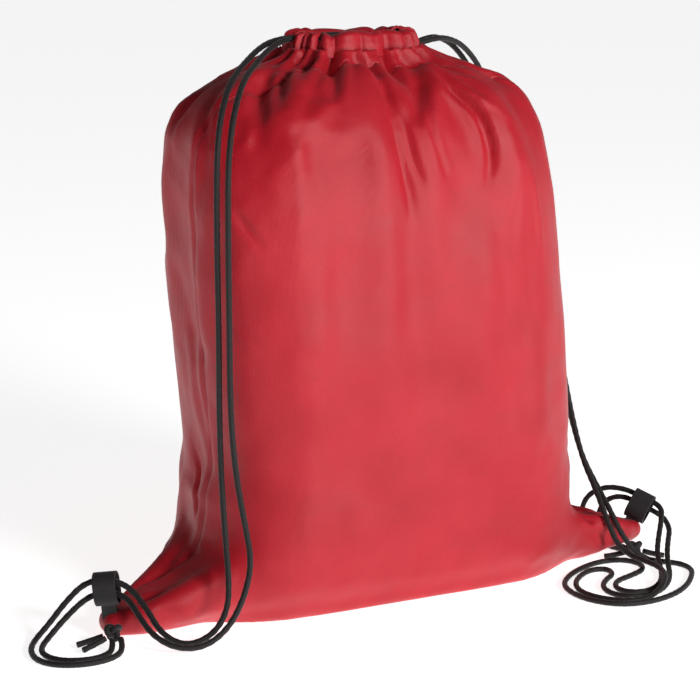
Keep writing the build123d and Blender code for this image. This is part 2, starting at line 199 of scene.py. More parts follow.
RIGHT_OUTER = [
    (0.039, 0.0182, 0.2985), (0.048, 0.021, 0.301), (0.06, 0.0285, 0.301), (0.076, 0.039, 0.295),
    (0.093, 0.049, 0.28), (0.1055, 0.0535, 0.254), (0.115, 0.05, 0.218), (0.123, 0.041, 0.18),
    (0.131, 0.03, 0.142), (0.137, 0.019, 0.108), (0.1395, 0.007, 0.079), (0.1395, -0.007, 0.056),
    (0.14, -0.0225, 0.0425), (0.1415, -0.0355, 0.0305), (0.144, -0.0435, 0.0185),
    (0.149, -0.0485, 0.009), (0.156, -0.054, 0.003), (0.165, -0.058, 0.0017), (0.172, -0.065, 0.0017),
    (0.172, -0.076, 0.0017), (0.164, -0.087, 0.0017), (0.152, -0.099, 0.0017), (0.137, -0.108, 0.0017),
    (0.119, -0.112, 0.0017), (0.103, -0.109, 0.0017), (0.092, -0.0975, 0.0017), (0.088, -0.082, 0.0017),
    (0.091, -0.067, 0.0017), (0.102, -0.055, 0.0017), (0.117, -0.046, 0.0017), (0.132, -0.0415, 0.0017),
    (0.145, -0.0435, 0.0017), (0.151, -0.053, 0.0017), (0.1475, -0.064, 0.0017), (0.135, -0.07, 0.0017),
    (0.1215, -0.0745, 0.0017), (0.1145, -0.084, 0.0017), (0.117, -0.0935, 0.0017),
    (0.127, -0.097, 0.0017), (0.139, -0.091, 0.0017), (0.149, -0.0795, 0.0017),
    (0.1555, -0.0685, 0.0026), (0.16, -0.058, 0.0075), (0.1665, -0.0495, 0.013),
    (0.173, -0.0425, 0.0205), (0.1785, -0.035, 0.027), (0.172, -0.0247, 0.0304), (0.165, -0.016, 0.0346),
    (0.156, -0.0065, 0.0345), (0.1485, 0.001, 0.0275), (0.1465, 0.0035, 0.0155), (0.1485, -0.002, 0.005),
    (0.152, -0.013, 0.0017), (0.1535, -0.0255, 0.0017), (0.1545, -0.037, 0.0042),
]
RIGHT_INNER = [
    (0.039, 0.0138, 0.2985), (0.05, 0.016, 0.301), (0.063, 0.023, 0.3005), (0.0795, 0.0335, 0.295),
    (0.097, 0.0435, 0.28), (0.11, 0.048, 0.254), (0.119, 0.0445, 0.218), (0.1265, 0.0355, 0.18),
    (0.133, 0.024, 0.142), (0.1365, 0.012, 0.108), (0.136, -0.001, 0.079), (0.1355, -0.0145, 0.056),
    (0.1355, -0.029, 0.042), (0.1355, -0.0415, 0.0275), (0.1375, -0.0495, 0.0145),
    (0.142, -0.0565, 0.0085), (0.1465, -0.067, 0.0075), (0.1475, -0.079, 0.0075),
    (0.1435, -0.091, 0.0073), (0.1345, -0.1015, 0.0056), (0.122, -0.1076, 0.0022),
    (0.1085, -0.106, 0.0017), (0.0975, -0.095, 0.0017), (0.0935, -0.082, 0.0017),
    (0.0975, -0.069, 0.0017), (0.107, -0.0585, 0.0017), (0.119, -0.0515, 0.0017),
    (0.1285, -0.054, 0.0017), (0.127, -0.0635, 0.0017), (0.1175, -0.07, 0.0017), (0.11, -0.078, 0.0017),
    (0.107, -0.088, 0.0017), (0.1105, -0.0975, 0.0017), (0.12, -0.1022, 0.0017), (0.1335, -0.1, 0.0017),
    (0.1465, -0.0895, 0.0017), (0.1565, -0.0765, 0.0017), (0.1615, -0.067, 0.0036),
    (0.167, -0.058, 0.008), (0.1735, -0.0495, 0.0115), (0.18, -0.0415, 0.015), (0.181, -0.033, 0.02),
    (0.1718, -0.0258, 0.0256), (0.1638, -0.0172, 0.0306), (0.157, -0.0105, 0.0285),
    (0.1528, -0.0065, 0.0205), (0.1535, -0.007, 0.01), (0.1565, -0.0135, 0.003),
    (0.158, -0.0245, 0.0017), (0.1578, -0.0365, 0.004),
]
KNOTS = {"left": (-0.166, -0.0435, 0.008), "right": (0.1555, -0.0418, 0.0066)}
TAILS = {
    "left": [
        [(-0.1710, -0.0455, 0.0060), (-0.1775, -0.0465, 0.0038), (-0.1840, -0.0485, 0.0028)],
        [(-0.1705, -0.0405, 0.0054), (-0.1770, -0.0385, 0.0032), (-0.1840, -0.0385, 0.0022)],
    ],
    "right": [
        [(0.1603, -0.0435, 0.0046), (0.1660, -0.0455, 0.0026), (0.1715, -0.0485, 0.0018)],
        [(0.1508, -0.0398, 0.0044), (0.1455, -0.0365, 0.0020), (0.1395, -0.0345, 0.0017)],
    ],
}


# ---------------------------------------------------------------- materials

def new_material(name, colour, roughness, sheen=0.0, specular=0.5):
    """A material with its shader's even values set; returns it with its node tree and shader."""
    material = bpy.data.materials.new(name)
    material.use_nodes = True
    tree = material.node_tree
    shader = tree.nodes["Principled BSDF"]
    shader.inputs["Base Color"].default_value = (*colour, 1.0)
    shader.inputs["Roughness"].default_value = roughness
    shader.inputs["Sheen Weight"].default_value = sheen
    shader.inputs["Sheen Roughness"].default_value = 0.4
    shader.inputs["Specular IOR Level"].default_value = specular
    return material, tree, shader


def node(tree, kind, **values):
    """Adds a node and sets its sockets by name."""
    made = tree.nodes.new(kind)
    for name, value in values.items():
        made.inputs[name.replace("_", " ")].default_value = value
    return made


def noise_texture(tree, coordinates, scale, detail=2.0):
    texture = node(tree, "ShaderNodeTexNoise", Scale=scale, Detail=detail)
    tree.links.new(coordinates.outputs["Object"], texture.inputs["Vector"])
    return texture


def colour_ramp(tree, factor, stops):
    """A ramp of (position, colour) stops driven by a factor socket."""
    ramp = tree.nodes.new("ShaderNodeValToRGB")
    while len(ramp.color_ramp.elements) < len(stops):
        ramp.color_ramp.elements.new(0.5)
    for element, (position, colour) in zip(ramp.color_ramp.elements, stops):
        element.position = position
        element.color = (*colour, 1.0)
    tree.links.new(factor, ramp.inputs["Fac"])
    return ramp


def wave_texture(tree, coordinates, direction, thread, distortion=0.0):
    """Parallel bands one thread wide across an axis of the object."""
    texture = node(tree, "ShaderNodeTexWave", Scale=math.pi / (10 * thread), Distortion=distortion)
    texture.bands_direction = direction
    tree.links.new(coordinates.outputs["Object"], texture.inputs["Vector"])
    return texture


def combine(tree, operation, first, second):
    maths = tree.nodes.new("ShaderNodeMath")
    maths.operation = operation
    for socket, value in zip(maths.inputs, (first, second)):
        if isinstance(value, float):
            socket.default_value = value
        else:
            tree.links.new(value, socket)
    return maths.outputs[0]


def add_bump(tree, shader, height, strength, distance):
    bump = node(tree, "ShaderNodeBump", Strength=strength, Distance=distance)
    tree.links.new(height, bump.inputs["Height"])
    tree.links.new(bump.outputs["Normal"], shader.inputs["Normal"])


def polyester_material():
    """Thin plain-woven polyester: two sets of threads, an uneven dye and a soft satin sheen."""
    material, tree, shader = new_material("red_polyester", (0.4, 0.008, 0.018), 0.45,
                                          sheen=0.22, specular=0.38)
    shader.inputs["Sheen Tint"].default_value = (1.0, 0.42, 0.45, 1.0)
    place = tree.nodes.new("ShaderNodeTexCoord")
    dye = noise_texture(tree, place, 38.0, 4.0)
    grain = noise_texture(tree, place, 1400.0, 2.0)
    mixed = combine(tree, "ADD", combine(tree, "MULTIPLY", dye.outputs["Fac"], 0.55),
                    combine(tree, "MULTIPLY", grain.outputs["Fac"], 0.45))
    ramp = colour_ramp(tree, mixed, ((0.3, (0.4, 0.006, 0.014)), (0.5, (0.47, 0.009, 0.02)),
                                     (0.7, (0.54, 0.016, 0.03))))
    tree.links.new(ramp.outputs["Color"], shader.inputs["Base Color"])
    warp = wave_texture(tree, place, "X", 0.55 * MM, 0.4)
    weft = wave_texture(tree, place, "Z", 0.5 * MM, 0.4)
    weave = combine(tree, "ADD", warp.outputs["Fac"], weft.outputs["Fac"])
    height = combine(tree, "ADD", weave, combine(tree, "MULTIPLY", grain.outputs["Fac"], 1.5))
    add_bump(tree, shader, height, 0.35, 0.00012)
    shine = node(tree, "ShaderNodeMapRange", From_Min=0.3, From_Max=0.7, To_Min=0.36, To_Max=0.5)
    tree.links.new(dye.outputs["Fac"], shine.inputs["Value"])
    tree.links.new(shine.outputs["Result"], shader.inputs["Roughness"])
    return material


def cord_material(name, colour):
    """Black braid: the relief is in the mesh, and fine fibres and a faint warm sheen are here."""
    material, tree, shader = new_material(name, colour, 0.62, sheen=0.25, specular=0.3)
    place = tree.nodes.new("ShaderNodeTexCoord")
    fibres = noise_texture(tree, place, 2600.0, 3.0)
    ramp = colour_ramp(tree, fibres.outputs["Fac"], ((0.35, tuple(0.6 * c for c in colour)),
                                                     (0.65, tuple(2.2 * c for c in colour))))
    tree.links.new(ramp.outputs["Color"], shader.inputs["Base Color"])
    add_bump(tree, shader, fibres.outputs["Fac"], 0.4, 0.00015)
    return material


def webbing_material():
    """Ribbed black webbing."""
    material, tree, shader = new_material("black_webbing", (0.012, 0.011, 0.012), 0.66,
                                          sheen=0.2, specular=0.3)
    place = tree.nodes.new("ShaderNodeTexCoord")
    ribs = wave_texture(tree, place, "Z", 0.5 * MM, 1.0)
    fibres = noise_texture(tree, place, 2200.0, 3.0)
    faint_fibres = combine(tree, "MULTIPLY", fibres.outputs["Fac"], 0.6)
    height = combine(tree, "ADD", ribs.outputs["Fac"], faint_fibres)
    ramp = colour_ramp(tree, height, ((0.3, (0.006, 0.005, 0.006)), (0.9, (0.03, 0.027, 0.028))))
    tree.links.new(ramp.outputs["Color"], shader.inputs["Base Color"])
    add_bump(tree, shader, height, 0.5, 0.0002)
    return material


def thread_material(name, dark, light):
    material, tree, shader = new_material(name, light, 0.5, sheen=0.3)
    place = tree.nodes.new("ShaderNodeTexCoord")
    twist = wave_texture(tree, place, "DIAGONAL", 0.4 * MM, 0.5)
    ramp = colour_ramp(tree, twist.outputs["Fac"], ((0.2, dark), (0.8, light)))
    tree.links.new(ramp.outputs["Color"], shader.inputs["Base Color"])
    add_bump(tree, shader, twist.outputs["Fac"], 0.4, 0.0001)
    return material


def floor_material():
    material, _, shader = new_material("pale_floor", (0.88, 0.88, 0.88), 0.8, specular=0.1)
    shader.inputs["Emission Color"].default_value = (1.0, 1.0, 1.0, 1.0)
    shader.inputs["Emission Strength"].default_value = 0.85
    return material


# ---------------------------------------------------------------- mesh helpers

def make_object(name, vertices, faces, material):
    """A smooth-shaded mesh object from vertices and faces."""
    mesh = bpy.data.meshes.new(name)
    mesh.from_pydata([tuple(map(float, v)) for v in vertices], [], faces)
    mesh.validate()
    made = bpy.data.objects.new(name, mesh)
    bpy.context.scene.collection.objects.link(made)
    finish_mesh(made, material)
    return made


def set_material(made, material):
    made.data.materials.clear()
    made.data.materials.append(material)


def finish_mesh(made, material):
    """Gives an object its material and smooth shading."""
    set_material(made, material)
    made.data.polygons.foreach_set("use_smooth", [True] * len(made.data.polygons))
    made.data.update()


def apply_modifiers(made):
    """Replaces the object's mesh with what its modifiers make of it."""
    depsgraph = bpy.context.evaluated_depsgraph_get()
    mesh = bpy.data.meshes.new_from_object(made.evaluated_get(depsgraph), depsgraph=depsgraph)
    made.modifiers.clear()
    made.data = mesh


def coordinates(made):
    values = np.empty(len(made.data.vertices) * 3)
    made.data.vertices.foreach_get("co", values)
    return values.reshape(-1, 3)


def set_coordinates(made, points):
    made.data.vertices.foreach_set("co", points.ravel())
    made.data.update()


def normals(made):
    values = np.empty(len(made.data.vertices) * 3)
    made.data.vertices.foreach_get("normal", values)
    return values.reshape(-1, 3)


def neighbour_mean(made, points):
    """The mean of each vertex's neighbours."""
    edges = np.empty(len(made.data.edges) * 2, int)
    made.data.edges.foreach_get("vertices", edges)
    edges = edges.reshape(-1, 2)
    total = np.zeros_like(points)
    count = np.zeros(len(points))
    for here, there in ((0, 1), (1, 0)):
        np.add.at(total, edges[:, here], points[edges[:, there]])
        np.add.at(count, edges[:, here], 1)
    return total / np.maximum(count, 1)[:, None]


def smoothed(made, values, rounds):
    """Values at the vertices, moved halfway to their neighbours' mean this many times."""
    values = values.copy()
    for _ in range(rounds):
        values += 0.5 * (neighbour_mean(made, values) - values)
    return values


def tube_mesh(path, ring_at, around, closed=False):
    """Vertices and faces of a tube: ring_at(angles, distance) gives the radii that far along the path."""
    tangents = np.gradient(path, axis=0)
    if closed:
        tangents = np.roll(path, -1, axis=0) - np.roll(path, 1, axis=0)
    tangents /= np.linalg.norm(tangents, axis=1)[:, None]
    side = np.cross(tangents[0], (0.31, 0.52, 0.79))
    side /= np.linalg.norm(side)
    angles = np.linspace(0, 2 * np.pi, around, endpoint=False)
    distance = 0.0
    vertices = []
    for index, (point, tangent) in enumerate(zip(path, tangents)):
        if index:
            distance += np.linalg.norm(point - path[index - 1])
        side = side - tangent * (side @ tangent)
        side /= np.linalg.norm(side)
        other = np.cross(tangent, side)
        radii = ring_at(angles, distance)
        vertices.extend(
            point + radius * (math.cos(angle) * side + math.sin(angle) * other)
            for angle, radius in zip(angles, radii)
        )
    rings = len(path)
    faces = []
    for ring in range(rings if closed else rings - 1):
        start, after = ring * around, (ring + 1) % rings * around
        for k in range(around):
            m = (k + 1) % around
            faces.append((start + k, start + m, after + m, after + k))
    if not closed:
        faces.append(tuple(range(around - 1, -1, -1)))
        faces.append(tuple((rings - 1) * around + k for k in range(around)))
    return vertices, faces


def add_tubes(name, paths, ring_at, around, material):
    """One object made of a tube along each path."""
    vertices, faces = [], []
    for path in paths:
        more, more_faces = tube_mesh(path, ring_at, around)
        faces.extend(tuple(len(vertices) + k for k in face) for face in more_faces)
        vertices.extend(more)
    return make_object(name, vertices, faces, material)


def round_section(radius):
    """Radii of a plain round tube."""
    return lambda angles, distance: np.full_like(angles, radius)


def declare(piece, cad_node):
    """Hides the CAD node that a piece stands for, and sets the piece under the bag's root."""
    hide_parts(cad_node)
    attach(piece, "root")


def resample(points, step):
    """The same polyline with its points evenly spaced."""
    gaps = np.linalg.norm(np.diff(points, axis=0), axis=1)
    along = np.concatenate(([0.0], np.cumsum(gaps)))
    wanted = np.linspace(0.0, along[-1], max(4, round(along[-1] / step) + 1))
    return np.stack([np.interp(wanted, along, points[:, k]) for k in range(3)], axis=1)


# ---------------------------------------------------------------- cords

def centreline(points, resolution=12):
    """The route's NURBS spline, read as points."""
    curve = bpy.data.curves.new("route", "CURVE")
    curve.dimensions = "3D"
    curve.resolution_u = resolution
    spline = curve.splines.new("NURBS")
    spline.points.add(len(points) - 1)
    for control, point in zip(spline.points, points):
        control.co = (*(np.array(point) + SHIFT), 1.0)
    spline.order_u = 3
    spline.use_endpoint_u = True
    holder = bpy.data.objects.new("route", curve)
    bpy.context.scene.collection.objects.link(holder)
    mesh = bpy.data.meshes.new_from_object(holder)
    line = np.array([vertex.co[:] for vertex in mesh.vertices])
    bpy.data.objects.remove(holder)
    return line


def braid_relief(radius, plait=5.2 * MM, strands=4):
    """Radii of a braided cord: strands winding both ways, over and under each other."""
    def ring_at(angles, distance):
        turn = 2 * math.pi * distance / plait
        one_way = np.abs(np.sin(strands / 2 * angles + turn / 2))
        other_way = np.abs(np.sin(strands / 2 * angles - turn / 2))
        return radius * (0.9 + 0.13 * np.sqrt(one_way * other_way))
    return ring_at


def add_cord(name, points, material):
    """A braided cord along its route; returns the object and the points that it follows."""
    line = resample(centreline(points), CORD_STEP)
    return add_tubes(name, [line], braid_relief(CORD / 2), CORD_SIDES, material), line


def add_knot(name, centre, material):
    """A pulled-tight overhand knot: a trefoil of the same cord."""
    t = np.linspace(0, 2 * np.pi, 120, endpoint=False)
    size = 1.35 * MM
    path = np.stack([
        size * (np.sin(t) + 2 * np.sin(2 * t)),
        size * 0.95 * np.sin(3 * t),
        size * (np.cos(t) - 2 * np.cos(2 * t)),
    ], axis=1)
    path += np.array(centre) + SHIFT
    vertices, faces = tube_mesh(path, braid_relief(CORD * 0.47), 12, closed=True)
    return make_object(name, vertices, faces, material)


def add_tails(name, routes, material):
    """The two cut ends that stick out of a knot."""
    paths = [resample(centreline(points), 0.5 * MM) for points in routes]
    return add_tubes(name, paths, braid_relief(CORD / 2), CORD_SIDES, material)


def add_cords(material):
    """Both pairs of strands with their knots and tails."""
    routes = {
        "left": {"outer": LEFT_OUTER, "inner": LEFT_INNER},
        "right": {"outer": RIGHT_OUTER, "inner": RIGHT_INNER},
    }
    for side, strands in routes.items():
        knot = add_knot(f"{side}_knot", KNOTS[side], material)
        declare(knot, f"cord_{side}_knot")
        tails = add_tails(f"{side}_cut_ends", TAILS[side], material)
        declare(tails, f"cord_{side}_tails")
        for which, points in strands.items():
            strand, line = add_cord(f"{side}_{which}_strand", points, material)
            declare(strand, f"cord_{side}_{which}_strand")


# ---------------------------------------------------------------- bag

def rounded_box(u, v, half_u, half_v, radius):
    """Signed distance to a rounded rectangle in its own plane."""
    over_u = np.abs(u) - (half_u - radius)
    over_v = np.abs(v) - (half_v - radius)
    outside = np.hypot(np.maximum(over_u, 0), np.maximum(over_v, 0))
    return outside + np.minimum(np.maximum(over_u, over_v), 0) - radius


def softened(z, column):
    """A section's measure at a height, rounded off between the given sections."""
    reach = 11.0 * np.clip((300.0 - z) / 60.0, 0.06, 1.0)
    return np.mean([
        np.interp(z + reach * step, BODY_SECTIONS[:, 0], BODY_SECTIONS[:, column])
        for step in (-1.0, -0.6, -0.2, 0.2, 0.6, 1.0)
    ], axis=0)


def body_field(points):
    """Below zero inside the body, in millimetres."""
    x, y, z = points.T
    half_width, half_depth, radius, middle_x, middle_y = (softened(z, k) for k in range(1, 6))
    across = rounded_box(x - middle_x, y - middle_y, half_width, half_depth, radius)
    return np.maximum(across, np.maximum(-z, z - BODY_SECTIONS[-1, 0]))


def ear_field(points, ear):
    """Below zero inside an ear, in millimetres."""
    x, y, z = points.T
    outward = np.abs(x)
    stations = np.abs(ear[:, 0])
    middle, half_depth, low, high = (np.interp(outward, stations, ear[:, k]) for k in range(1, 5))
    half_height = (high - low) / 2
    across = rounded_box(y - middle, z - low - half_height, half_depth, half_height,
                         0.85 * np.minimum(half_depth, half_height))
    side = np.sign(ear[0, 0])
    return np.maximum(across, np.maximum(outward - stations[-1], stations[0] - x * side))


def smooth_minimum(first, second, blend):
    share = np.maximum(blend - np.abs(first - second), 0) / blend
    return np.minimum(first, second) - share * share * blend / 4


def bag_field(points):
    """Below zero inside the stuffed bag, in millimetres."""
    ears = np.minimum(ear_field(points, LEFT_EAR), ear_field(points, RIGHT_EAR))
    return smooth_minimum(body_field(points), ears, 16.0)


def project_to_bag(points):
    """Moves points, in metres, onto the bag's smooth surface."""
    p = (points - SHIFT) / MM
    step = 0.5
    for _ in range(4):
        value = bag_field(p)
        slope = np.stack([
            (bag_field(p + step * axis) - bag_field(p - step * axis)) / (2 * step) for axis in np.eye(3)
        ], axis=1)
        size = np.maximum((slope ** 2).sum(axis=1), 0.25)
        p = p - np.clip(value / size, -6, 6)[:, None] * slope
    return p * MM + SHIFT


def loft_rings(bm, rings):
    """A closed loft through rings of the same number of points."""
    made = [[bm.verts.new(point) for point in ring] for ring in rings]
    for lower, upper in zip(made, made[1:]):
        for k in range(len(lower)):
            m = (k + 1) % len(lower)
            bm.faces.new((lower[k], lower[m], upper[m], upper[k]))
    bm.faces.new(tuple(reversed(made[0])))
    bm.faces.new(tuple(made[-1]))


def rough_bag():
    """A closed lofted body with its two ears, remeshed into one even skin."""
    ring_points = 64
    angles = np.linspace(0, 2 * np.pi, ring_points, endpoint=False)
    cos, sin = np.cos(angles), np.sin(angles)
    c, s = np.sign(cos) * np.abs(cos) ** 0.5, np.sign(sin) * np.abs(sin) ** 0.5
    bm = bmesh.new()
    body = [
        np.stack([half_width * c + x, half_depth * s + y, np.full_like(c, z)], axis=1) * MM + SHIFT
        for z, half_width, half_depth, _, x, y in BODY_SECTIONS
    ]
    loft_rings(bm, body)
    for ear in (LEFT_EAR, RIGHT_EAR):
        loft_rings(bm, [
            np.stack([
                np.full_like(c, x), y + depth * c, (low + high) / 2 + (high - low) / 2 * s,
            ], axis=1) * MM + SHIFT
            for x, y, depth, low, high in ear
        ])
    bmesh.ops.recalc_face_normals(bm, faces=bm.faces)
    mesh = bpy.data.meshes.new("bag")
    bm.to_mesh(mesh)
    bm.free()
    bag = bpy.data.objects.new("bag", mesh)
    bpy.context.scene.collection.objects.link(bag)
    remesh = bag.modifiers.new("even", "REMESH")
    remesh.mode = "VOXEL"
    remesh.voxel_size = REMESH_STEP
    apply_modifiers(bag)
    return bag


def fit(bag):
    """Brings the rough skin onto the bag's smooth surface, with its vertices evenly spread."""
    for _ in range(FITTING_ROUNDS):
        set_coordinates(bag, project_to_bag(coordinates(bag)))
        for _ in range(2):
            set_coordinates(bag, smoothed(bag, coordinates(bag), 1))


def subdivide(bag):
    modifier = bag.modifiers.new("finer", "SUBSURF")
    modifier.levels = 1
    modifier.render_levels = 1
    apply_modifiers(bag)


def hold_loosely(bag, base):
    """A vertex group that pins the neck and the underside firmly and the rest weakly."""
    near_neck = np.exp(-np.maximum(outside_neck(base), 0) / 14.0) * (base[:, 2] > 0.2)
    near_floor = np.exp(-base[:, 2] / 0.006)
    hold = bag.vertex_groups.new(name="hold")
    for index, weight in enumerate(np.clip(HOLD + near_neck + near_floor, 0, 1)):
        hold.add([index], float(weight), "REPLACE")


def run_cloth(bag):
    """Simulates the skin as thin cloth cut a little too large, with what is inside pressing it out."""
    cloth = bag.modifiers.new("cloth", "CLOTH")
    settings = cloth.settings
    settings.quality = 5
    settings.mass = 0.12
    settings.tension_stiffness = 18.0
    settings.compression_stiffness = 18.0
    settings.shear_stiffness = 6.0
    settings.bending_stiffness = 0.12
    settings.air_damping = 2.0
    settings.vertex_group_mass = "hold"
    settings.pin_stiffness = 1.0
    settings.shrink_min = -0.09
    settings.use_pressure = True
    settings.uniform_pressure_force = 0.3
    settings.effector_weights.gravity = 0.25
    cloth.collision_settings.use_collision = False
    scene = bpy.context.scene
    cloth.point_cache.frame_start, cloth.point_cache.frame_end = 1, SIMULATED_FRAMES
    for frame_number in range(1, SIMULATED_FRAMES + 1):
        scene.frame_set(frame_number)
    apply_modifiers(bag)
    scene.frame_set(1)


def settle_cloth(bag):
    """Adds the short wrinkles of simulated cloth, without the swelling that would change the bag's size."""
    base = coordinates(bag)
    outward = normals(bag)
    hold_loosely(bag, base)
    run_cloth(bag)
    moved = ((coordinates(bag) - base) * outward).sum(axis=1)[:, None]
    wrinkles = np.clip(moved - smoothed(bag, moved, BROAD_ROUNDS), -FARTHEST_WRINKLE, FARTHEST_WRINKLE)
    wrinkles = smoothed(bag, wrinkles, 3)[:, 0]
    on_ears = np.clip((np.abs(base[:, 0]) - 0.1) / 0.02, 0, 1)
    near_top = np.clip((base[:, 2] - 0.22) / 0.05, 0, 1)
    slack = wrinkles * (TAUT + (1 - TAUT) * np.maximum(on_ears, near_top))
    set_coordinates(bag, base + outward * slack[:, None])


def curve_through(line, count=14):
    """A smooth curve through a few points."""
    padded = np.vstack([2 * line[0] - line[1], line, 2 * line[-1] - line[-2]])
    wanted = np.linspace(0, len(line) - 1, count)
    span = np.minimum(wanted.astype(int), len(line) - 2)
    f = (wanted - span)[:, None]
    a, b, c, d = (padded[span + k] for k in range(4))
    square = (2 * a - 5 * b + 4 * c - d) * f ** 2
    cube = (3 * b - a - 3 * c + d) * f ** 3
    return 0.5 * (2 * b + (c - a) * f + square + cube)


def fold_height(points, line, width, depth):
    """How far a fold along a line moves points: a valley between two soft ridges, fading at its ends."""
    low, high = line.min(axis=0) - 4 * width, line.max(axis=0) + 4 * width
    near = np.all((points > low) & (points < high), axis=1)
    p = points[near]
    nearest = np.full(len(p), np.inf)
    faded = np.zeros(len(p))
    segments = len(line) - 1
    for k, (a, b) in enumerate(zip(line, line[1:])):
        along = b - a
        t = np.clip(((p - a) @ along) / max(along @ along, 1e-12), 0, 1)
        distance = np.linalg.norm(p - a - t[:, None] * along, axis=1)
        closer = distance < nearest
        nearest = np.where(closer, distance, nearest)
        faded = np.where(closer, np.sin(np.pi * (k + t) / segments), faded)
    q = nearest / width
    height = np.zeros(len(points))
    height[near] = -depth * faded * (1 - 0.9 * q * q) * np.exp(-q * q)
    return height


def mouth_angle(points):
    """Angle round the mouth of points in metres."""
    x, y = (points[:, 0] - SHIFT[0]) / MM, (points[:, 1] - SHIFT[1]) / MM
    return np.arctan2(y - MOUTH_Y / MM, x * OVAL)


def outside_neck(points):
    """Distance outside the neck's outline, in millimetres."""
    x, y = (points[:, 0] - SHIFT[0]) / MM, (points[:, 1] - SHIFT[1]) / MM
    beyond = np.maximum(np.abs(x) - RING_CENTRES, 0)
    return np.hypot(beyond, y - MOUTH_Y / MM) - HEM_RADIUS


def pleats(angle, count, seed, sharpness):
    """Rounded ridges between uneven sharp valleys: from -1 in a valley to about 1 on a ridge."""
    generator = np.random.default_rng(seed)
    edges = np.sort((np.arange(count) + generator.uniform(-0.32, 0.32, count)) * 2 * np.pi / count - np.pi)
    tops = generator.uniform(0.55, 1.0, count)
    wrapped = np.concatenate(([edges[-1] - 2 * np.pi], edges, [edges[0] + 2 * np.pi]))
    cell = np.clip(np.searchsorted(wrapped, angle) - 1, 0, count)
    share = (angle - wrapped[cell]) / (wrapped[cell + 1] - wrapped[cell])
    return 2 * tops[cell % count] * np.sin(np.pi * np.clip(share, 0, 1)) ** sharpness - 1


def pleat_height(points):
    """How far the drawn-up cloth round the mouth stands out, in metres."""
    angle = mouth_angle(points)
    below = np.maximum(NECK_Z - points[:, 2] / MM, 0)
    out = np.hypot(np.maximum(outside_neck(points), 0), below)
    fine = pleats(angle, *FINE_PLEATS) * (FINE_STAND + 0.7 * np.exp(-((out - 8) / 6) ** 2))
    fine *= np.exp(-(out / 17) ** 1.6)
    coarse = pleats(angle + COARSE_TURN, *COARSE_PLEATS)
    coarse *= COARSE_STAND + 2.6 * np.exp(-((out - 12) / 12) ** 2)
    coarse *= np.exp(-(out / 42) ** 1.8)
    return (fine + coarse) * MM


def shape_folds(bag):
    """Every crease, the pleats round the mouth, and the soft unevenness of stuffed cloth."""
    points, outward = coordinates(bag), normals(bag)
    height = pleat_height(points)
    for width, depth, route in CREASES:
        line = curve_through(np.array(route, float) * MM + SHIFT)
        height += fold_height(points, line, width * MM, depth * MM)
    billows = np.array([
        sum(noise.noise(Vector(point) * frequency) * size for frequency, size in BILLOWS)
        for point in points
    ])
    height += billows * MM * np.clip(points[:, 2] / 0.02, 0.0, 1.0)
    seam_depth, seam_width = 1.3 * MM, 2.0 * MM
    height -= seam_depth * np.exp(-((points[:, 1] - SEAM_Y) / seam_width) ** 2)
    points += outward * height[:, None]
    points[:, 2] = np.maximum(points[:, 2], 0.0002)
    set_coordinates(bag, points)


def cut_panels(bag, material):
    """The bag's skin cut at the neck and at the seam into a front and a back panel."""
    panels = {}
    for name, keep_front in (("front_cloth", True), ("back_cloth", False)):
        bm = bmesh.new()
        bm.from_mesh(bag.data)
        under_hem = [
            face for face in bm.faces
            if face.calc_center_median().z > PANEL_TOP
        ]
        bmesh.ops.delete(bm, geom=under_hem, context="FACES")
        bmesh.ops.bisect_plane(
            bm, geom=bm.verts[:] + bm.edges[:] + bm.faces[:],
            plane_co=(0, SEAM_Y, 0), plane_no=(0, 1, 0),
            clear_outer=keep_front, clear_inner=not keep_front,
        )
        loose = [vertex for vertex in bm.verts if not vertex.link_faces]
        bmesh.ops.delete(bm, geom=loose, context="VERTS")
        mesh = bpy.data.meshes.new(name)
        bm.to_mesh(mesh)
        bm.free()
        panel = bpy.data.objects.new(name, mesh)
        bpy.context.scene.collection.objects.link(panel)
        finish_mesh(panel, material)
        panels[name] = panel
    return panels


def thicken(made, thickness, offset=-1.0):
    solid = made.modifiers.new("thickness", "SOLIDIFY")
    solid.thickness = thickness
    solid.offset = offset
    apply_modifiers(made)


def seam_edges(panel, points):
    """The panel's cut edges in the seam plane, by the seam that they belong to."""
    stretches = {"left_side_allowance": [], "right_side_allowance": [], "bottom_allowance": []}
    edges = {}
    for polygon in panel.data.polygons:
        for key in polygon.edge_keys:
            edges[key] = edges.get(key, 0) + 1
    for (first, second), used in edges.items():
        if used != 1 or max(abs(points[first, 1] - SEAM_Y), abs(points[second, 1] - SEAM_Y)) > 1e-5:
            continue
        middle = (points[first] + points[second]) / 2
        if middle[2] > 0.07:
            name = "left_side_allowance" if middle[0] < 0 else "right_side_allowance"
        else:
            name = "bottom_allowance"
        stretches[name].append((first, second))
    return stretches


def add_seam_allowances(panel, material):
    """The two layers inside the bag along each seam: a strip inward from the panel's cut edge."""
    points, inward = coordinates(panel), -normals(panel)
    inward[:, 1] = 0
    inward /= np.maximum(np.linalg.norm(inward, axis=1), 1e-9)[:, None]
    replaced = {
        "left_side_allowance": "side_seam_left",
        "right_side_allowance": "side_seam_right",
        "bottom_allowance": "bottom_seam",
    }
    for name, pairs in seam_edges(panel, points).items():
        used = sorted({k for pair in pairs for k in pair})
        place = {k: n for n, k in enumerate(used)}
        outer = points[used] + inward[used] * 2 * CLOTH
        inner = points[used] + inward[used] * SEAM_ALLOWANCE
        faces = [
            (place[a], place[b], place[b] + len(used), place[a] + len(used)) for a, b in pairs
        ]
        strip = make_object(name, np.vstack([outer, inner]), faces, material)
        thicken(strip, 2 * CLOTH, offset=0.0)
        declare(strip, replaced[name])


